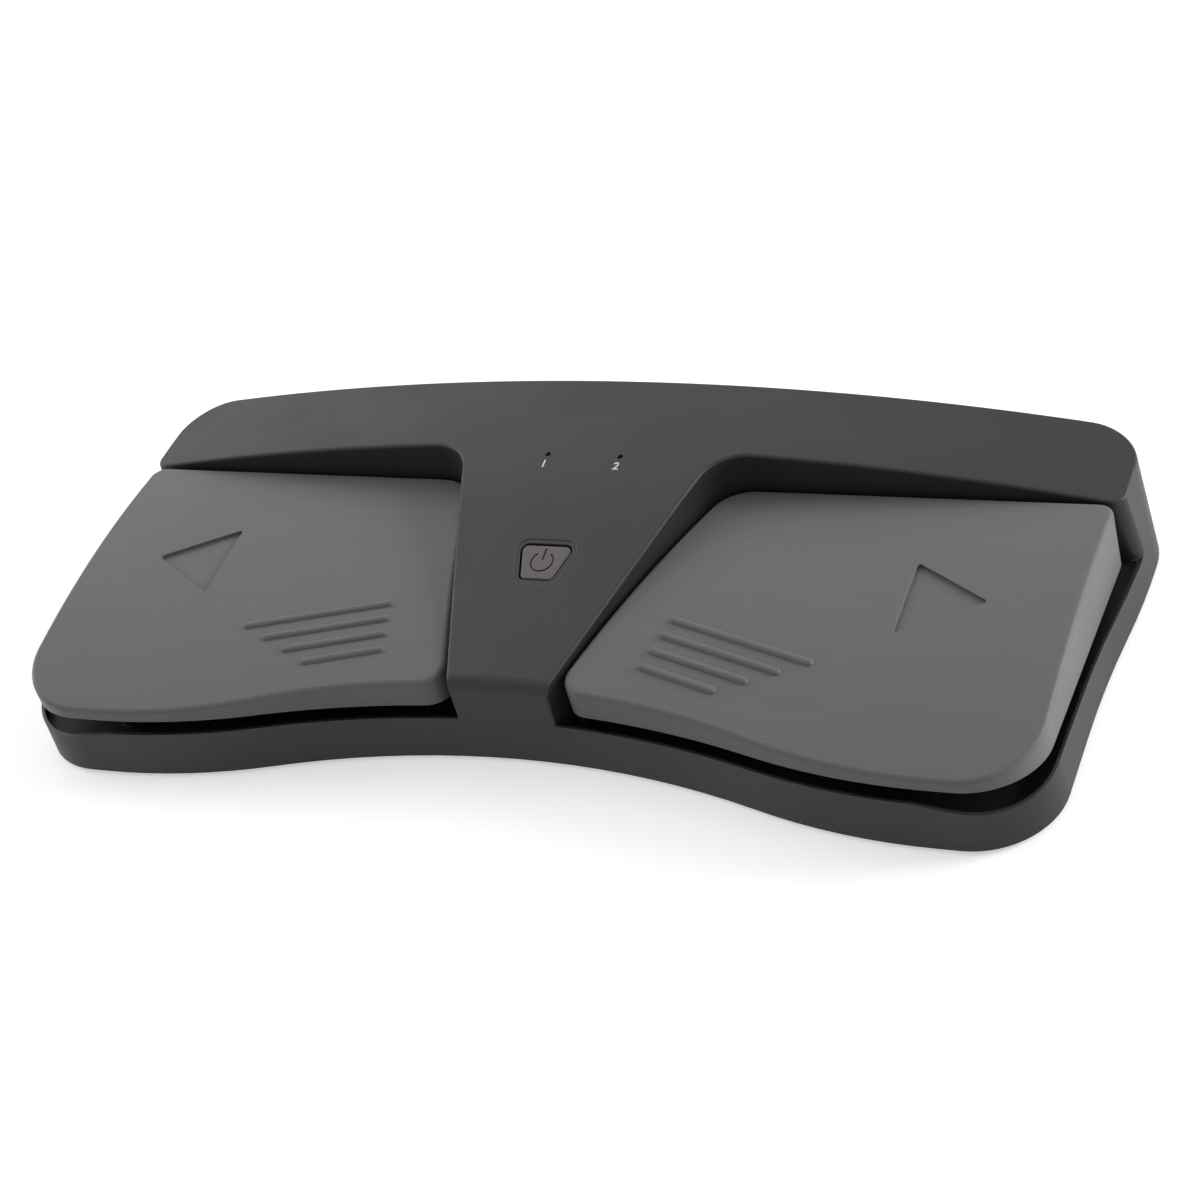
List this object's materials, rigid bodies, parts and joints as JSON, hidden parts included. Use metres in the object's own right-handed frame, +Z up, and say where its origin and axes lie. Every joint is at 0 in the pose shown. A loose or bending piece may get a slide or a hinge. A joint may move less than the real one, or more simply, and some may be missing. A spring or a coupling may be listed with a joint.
{
  "type": "page turner pedal",
  "caption": "Wireless foot pedal with two hinged treads that turn pages back and forth, in a low arched housing with a power button between them.",
  "frame": {"origin": "middle of the overall box, on the floor plane that the feet rest on", "axes": "+X to the player's right along the housing, +Y to the rear edge away from the player, +Z up"},
  "size_m": [0.24, 0.1048, 0.034],
  "materials": {
    "housing_shell": "fine moulded texture",
    "tread_plastic": "satin",
    "button_plastic": "satin",
    "base_cover": "fine moulded texture",
    "foot_rubber": "matte",
    "bumper_rubber": "matte",
    "foam": "open cell",
    "steel": "plated",
    "spring_steel": "drawn",
    "shield_metal": "stamped",
    "bearing_plastic": "smooth",
    "circuit_board": "lacquered",
    "white_plastic": "smooth",
    "switch_plastic": "smooth",
    "plunger_plastic": "smooth",
    "lamp_white": "diffuse",
    "clear_pipe": "clear",
    "battery_wrap": "film",
    "lead_red": "smooth",
    "lead_grey": "smooth"
  },
  "bodies": {
    "housing": {"top_housing": "housing_shell", "base_plate": "base_cover", "feet": "foot_rubber", "base_screws": "steel", "main_board": "circuit_board", "board_screws": "steel", "radio_module": "shield_metal", "lead_sockets": "white_plastic", "battery_socket": "white_plastic", "battery_leads": "lead_red", "battery": "battery_wrap", "battery_pad": "foam", "power_switch": "switch_plastic", "indicator_lamps": "lamp_white", "light_pipes": "clear_pipe", "charging_socket": "steel", "hinge_screws": "steel", "left_hinge_blocks": "bearing_plastic", "left_return_spring": "spring_steel", "left_bumpers": "bumper_rubber", "left_switch_body": "switch_plastic", "left_switch_board": "circuit_board", "left_switch_lead": "lead_grey", "right_hinge_blocks": "bearing_plastic", "right_return_spring": "spring_steel", "right_bumpers": "bumper_rubber", "right_switch_body": "switch_plastic", "right_switch_board": "circuit_board", "right_switch_lead": "lead_grey"},
    "left_tread_body": {"left_tread": "tread_plastic", "left_hinge_pin": "steel"},
    "right_tread_body": {"right_tread": "tread_plastic", "right_hinge_pin": "steel"},
    "left_plunger_body": {"left_switch_plunger": "plunger_plastic"},
    "right_plunger_body": {"right_switch_plunger": "plunger_plastic"},
    "button_body": {"power_button": "button_plastic", "power_switch_plunger": "plunger_plastic"}
  },
  "joints": [
    {"name": "left_tread_hinge", "type": "hinge", "parent": "housing", "child": "left_tread_body", "pos_m": [-0.0705, 0.019, 0.012], "axis": [1, 0, 0], "range_deg": [0, 2.4], "stiffness_Nm_per_rad": 0.62, "springref_deg": -9.17, "deforming": ["left_return_spring"]},
    {"name": "right_tread_hinge", "type": "hinge", "parent": "housing", "child": "right_tread_body", "pos_m": [0.0705, 0.019, 0.012], "axis": [1, 0, 0], "range_deg": [0, 2.4], "stiffness_Nm_per_rad": 0.62, "springref_deg": -9.17, "deforming": ["right_return_spring"]},
    {"name": "left_plunger_slide", "type": "slide", "parent": "housing", "child": "left_plunger_body", "axis": [0, 0, -1], "range_m": [0, 0.00102]},
    {"name": "right_plunger_slide", "type": "slide", "parent": "housing", "child": "right_plunger_body", "axis": [0, 0, -1], "range_m": [0, 0.00102]},
    {"name": "power_button_slide", "type": "slide", "parent": "housing", "child": "button_body", "axis": [0, 0, -1], "range_m": [0, 0.0006], "stiffness_N_per_m": 1200, "springref_m": -0.0008}
  ],
  "couplings": [
    {"joint": "left_plunger_slide", "follows": "left_tread_hinge", "m_per_rad": 0.024},
    {"joint": "right_plunger_slide", "follows": "right_tread_hinge", "m_per_rad": 0.024}
  ]
}
